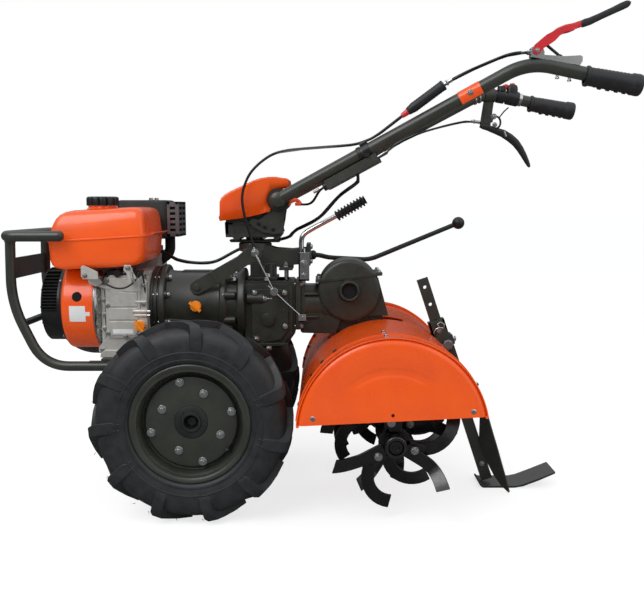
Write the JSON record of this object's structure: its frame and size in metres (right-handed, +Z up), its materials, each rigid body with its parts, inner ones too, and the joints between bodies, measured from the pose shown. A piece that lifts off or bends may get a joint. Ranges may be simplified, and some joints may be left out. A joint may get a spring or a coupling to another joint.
{
  "type": "hand tractor",
  "caption": "Walk-behind tractor with a petrol engine, lugged wheels, swivelling handlebars and a rear rotary tiller under a hood, standing on its wheels and depth shoe.",
  "frame": {"origin": "on the ground, in the middle of the machine's length and width, 285 mm behind the wheel axle", "axes": "+X forward, towards the engine's guard; +Y to the machine's left; +Z up"},
  "size_m": [1.5412, 0.746, 1.2293],
  "materials": {
    "orange": "gloss",
    "charcoal": "satin",
    "rubber": "matte",
    "tyre": "matte",
    "castAluminium": "satin",
    "steel": "satin",
    "chrome": "gloss",
    "blackPlastic": "matte",
    "redPlastic": "gloss",
    "oilPlug": "satin",
    "bladeSteel": "satin"
  },
  "bodies": {
    "chassis": {"gearbox": "charcoal", "clutch_housing": "charcoal", "gearbox_filler_plug": "oilPlug", "engine_crankcase": "castAluminium", "engine_cylinder": "castAluminium", "fan_shroud": "orange", "recoil_starter": "blackPlastic", "fuel_tank": "orange", "fuel_cap": "blackPlastic", "air_cleaner": "blackPlastic", "muffler": "blackPlastic", "engine_dipstick": "oilPlug", "front_guard": "charcoal", "handlebar_column": "charcoal", "column_brace_left": "charcoal", "column_brace_right": "charcoal", "gear_lever": "blackPlastic", "tiller_lever": "chrome", "tiller_coupling": "charcoal", "tiller_gear_case": "charcoal", "tiller_leg": "charcoal", "tiller_hood": "orange", "hood_side_left": "orange", "hood_side_right": "orange", "depth_bar_socket": "charcoal", "clutch_rod": "steel", "loom_engine": "blackPlastic"},
    "left_wheel": {"tyre_left": "tyre", "wheel_rim_left": "charcoal", "wheel_hub_left": "blackPlastic"},
    "right_wheel": {"tyre_right": "tyre", "wheel_rim_right": "charcoal", "wheel_hub_right": "blackPlastic"},
    "rotor": {"rotor_shaft": "bladeSteel", "tiller_blades_left": "bladeSteel", "tiller_blades_right": "bladeSteel"},
    "skid": {"depth_bar": "charcoal", "skid_shoe": "charcoal", "skid_fin": "charcoal"},
    "head": {"head_base": "charcoal", "head_cover": "orange", "release_lever": "redPlastic", "clutch_cable_lower": "blackPlastic", "loom_lower": "blackPlastic"},
    "handlebar": {"handlebar_frame": "charcoal", "hand_grip_left": "rubber", "hand_grip_right": "rubber", "clutch_lever_bracket": "steel", "clutch_lever": "redPlastic", "kill_switch": "redPlastic", "throttle_lever": "redPlastic", "steering_lever_bracket": "castAluminium", "steering_lever": "blackPlastic", "cable_box": "castAluminium", "clutch_cable_bar": "blackPlastic", "cable_adjuster": "blackPlastic", "steering_cable": "blackPlastic", "clutch_cable_upper": "blackPlastic", "loom_upper": "blackPlastic", "lock_cable": "blackPlastic"}
  },
  "joints": [
    {"name": "left_wheel_spin", "type": "hinge", "parent": "chassis", "child": "left_wheel", "pos_m": [0.285, 0.261, 0.246], "axis": [0, 1, 0], "continuous": true},
    {"name": "right_wheel_spin", "type": "hinge", "parent": "chassis", "child": "right_wheel", "pos_m": [0.285, -0.261, 0.246], "axis": [0, 1, 0], "continuous": true},
    {"name": "rotor_spin", "type": "hinge", "parent": "chassis", "child": "rotor", "pos_m": [-0.199, 0, 0.206], "axis": [0, 1, 0], "continuous": true},
    {"name": "depth_bar_slide", "type": "slide", "parent": "chassis", "child": "skid", "axis": [0.3181, 0, 0.9481], "range_m": [0, 0.096]},
    {"name": "handlebar_swivel", "type": "hinge", "parent": "chassis", "child": "head", "pos_m": [0.15, 0, 0.668], "axis": [0, 0, 1], "range_deg": [-30, 30], "deforming": ["clutch_cable_lower", "loom_lower"]},
    {"name": "handlebar_tilt", "type": "hinge", "parent": "head", "child": "handlebar", "pos_m": [0.084, 0, 0.776], "axis": [0, 1, 0], "range_deg": [-14.5, 14.5], "deforming": ["clutch_cable_upper", "loom_upper", "lock_cable"]}
  ]
}
